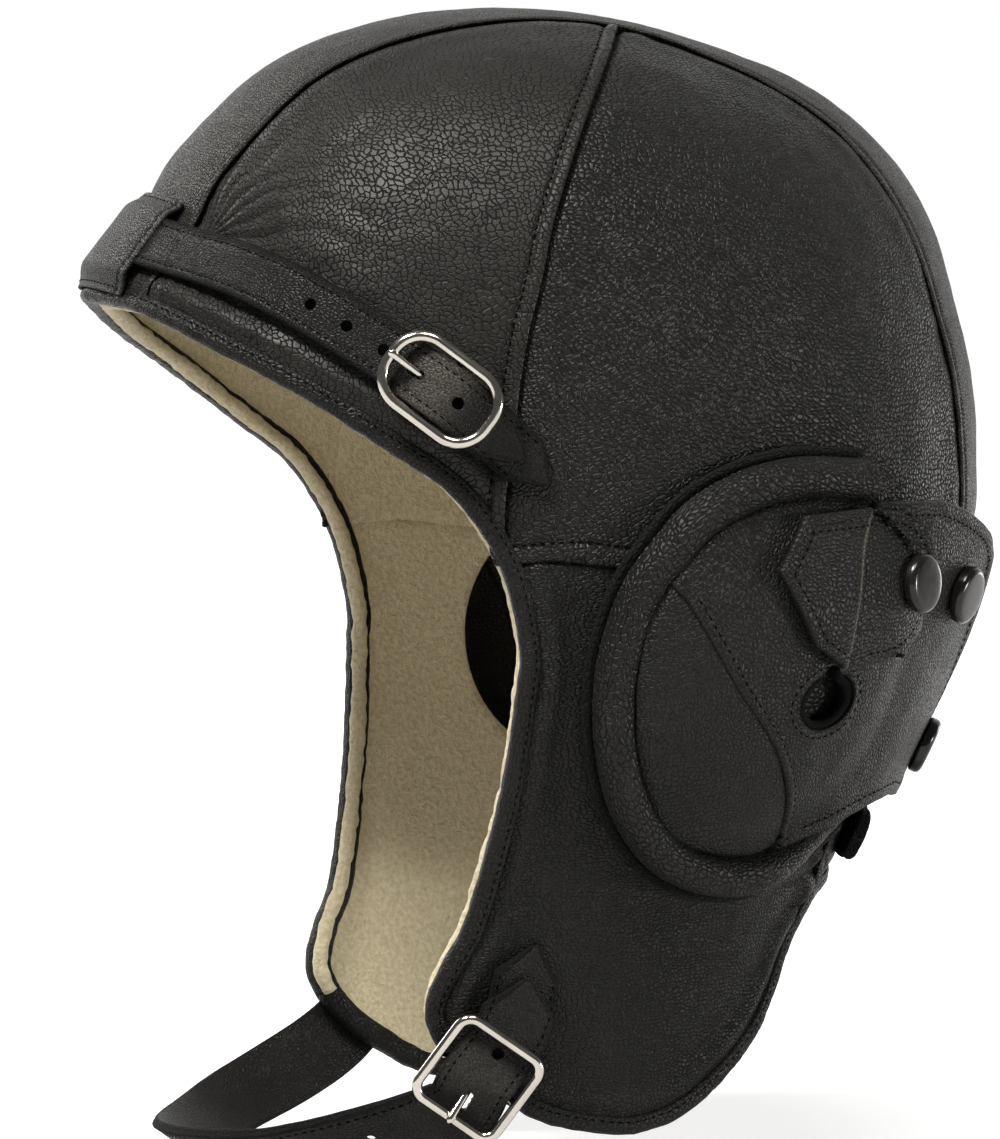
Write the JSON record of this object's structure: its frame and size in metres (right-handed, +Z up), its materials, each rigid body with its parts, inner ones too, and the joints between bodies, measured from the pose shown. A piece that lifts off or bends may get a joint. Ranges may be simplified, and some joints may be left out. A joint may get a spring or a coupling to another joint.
{
  "type": "flying helmet",
  "caption": "Black leather open-face flying helmet with padded ear cups, buckled brow and chin straps, snapped rear flaps and a cream cloth lining.",
  "frame": {"origin": "centre of the wearer's head, level with the temples", "axes": "+Z up, -Y the way the face looks, +X the wearer's left"},
  "size_m": [0.1794, 0.2037, 0.254],
  "materials": {
    "band_leather": "fine-grained black leather, soft sheen",
    "panel_leather": "pebbled black leather, worn sheen",
    "strap_leather": "smooth black strap leather, stitched edges",
    "edge_leather": "rolled black leather binding",
    "cup_leather": "moulded black leather, semi-gloss",
    "lining_cloth": "cream brushed cloth",
    "nickel": "polished nickel plate, slightly worn",
    "snap_black": "gloss black enamel",
    "snap_steel": "plain pressed steel"
  },
  "bodies": {
    "helmet": {"brow_chape": "strap_leather", "brow_strap": "strap_leather", "cable_patch_l": "strap_leather", "cable_patch_r": "strap_leather", "chin_chape": "strap_leather", "chin_strap": "strap_leather", "crown_band": "band_leather", "ear_cover_l": "cup_leather", "ear_cover_r": "cup_leather", "ear_front_l": "cup_leather", "ear_front_r": "cup_leather", "ear_ring_l": "cup_leather", "ear_ring_r": "cup_leather", "face_binding": "edge_leather", "forehead_keeper": "strap_leather", "front_panel_l": "panel_leather", "front_panel_r": "panel_leather", "hem_binding": "edge_leather", "lining_crown": "lining_cloth", "lining_front_panel_l": "lining_cloth", "lining_front_panel_r": "lining_cloth", "lining_neck_panel_l": "lining_cloth", "lining_neck_panel_r": "lining_cloth", "lining_side_panel_l": "lining_cloth", "lining_side_panel_r": "lining_cloth", "nape_strap": "strap_leather", "neck_panel_l": "panel_leather", "neck_panel_r": "panel_leather", "side_panel_l": "panel_leather", "side_panel_r": "panel_leather", "snap_cap_front_l": "snap_black", "snap_cap_front_r": "snap_black", "snap_socket_front_l": "snap_steel", "snap_socket_front_r": "snap_steel", "snap_stud_front_l": "snap_steel", "snap_stud_front_r": "snap_steel", "snap_stud_lower_l": "snap_steel", "snap_stud_lower_r": "snap_steel", "snap_stud_upper_l": "snap_steel", "snap_stud_upper_r": "snap_steel"},
    "brow_buckle": {"brow_buckle_frame": "nickel"},
    "brow_prong": {"brow_prong": "nickel"},
    "chin_buckle": {"chin_buckle_frame": "nickel"},
    "chin_prong": {"chin_prong": "nickel"},
    "cable_tab_l": {"cable_tab_l": "strap_leather"},
    "cable_tab_r": {"cable_tab_r": "strap_leather"},
    "rear_flap_l": {"rear_flap_l": "cup_leather", "snap_cap_upper_l": "snap_black", "snap_socket_upper_l": "snap_steel", "snap_cap_lower_l": "snap_black", "snap_socket_lower_l": "snap_steel"},
    "rear_flap_r": {"rear_flap_r": "cup_leather", "snap_cap_upper_r": "snap_black", "snap_socket_upper_r": "snap_steel", "snap_cap_lower_r": "snap_black", "snap_socket_lower_r": "snap_steel"}
  },
  "joints": [
    {"name": "brow_buckle_tilt", "type": "hinge", "parent": "helmet", "child": "brow_buckle", "pos_m": [0.07604, -0.03996, 0.02341], "axis": [0.1002, 0.596, 0.7967], "range_deg": [-4, 1.5]},
    {"name": "brow_prong_lift", "type": "hinge", "parent": "brow_buckle", "child": "brow_prong", "pos_m": [0.07604, -0.03996, 0.02341], "axis": [0.1002, 0.596, 0.7967], "range_deg": [0, 14]},
    {"name": "chin_buckle_tilt", "type": "hinge", "parent": "helmet", "child": "chin_buckle", "pos_m": [0.05773, -0.02706, -0.12448], "axis": [-0.0976, -0.8146, 0.5718], "range_deg": [-2, 1]},
    {"name": "chin_prong_lift", "type": "hinge", "parent": "chin_buckle", "child": "chin_prong", "pos_m": [0.05773, -0.02706, -0.12448], "axis": [-0.0976, -0.8146, 0.5718], "range_deg": [0, 14]},
    {"name": "cable_tab_fold_l", "type": "hinge", "parent": "helmet", "child": "cable_tab_l", "pos_m": [0.08212, 0.05209, -0.01995], "axis": [-0.1986, 0.2372, 0.951], "range_deg": [0, 100]},
    {"name": "cable_tab_fold_r", "type": "hinge", "parent": "helmet", "child": "cable_tab_r", "pos_m": [-0.08212, 0.05209, -0.01995], "axis": [-0.1986, -0.2372, -0.951], "range_deg": [0, 100]},
    {"name": "rear_flap_swing_l", "type": "hinge", "parent": "helmet", "child": "rear_flap_l", "pos_m": [0.05353, 0.07613, -0.03616], "axis": [-0.3485, -0.0644, -0.9351], "range_deg": [0, 50]},
    {"name": "rear_flap_swing_r", "type": "hinge", "parent": "helmet", "child": "rear_flap_r", "pos_m": [-0.05353, 0.07613, -0.03616], "axis": [-0.3485, 0.0644, 0.9351], "range_deg": [0, 50]}
  ]
}
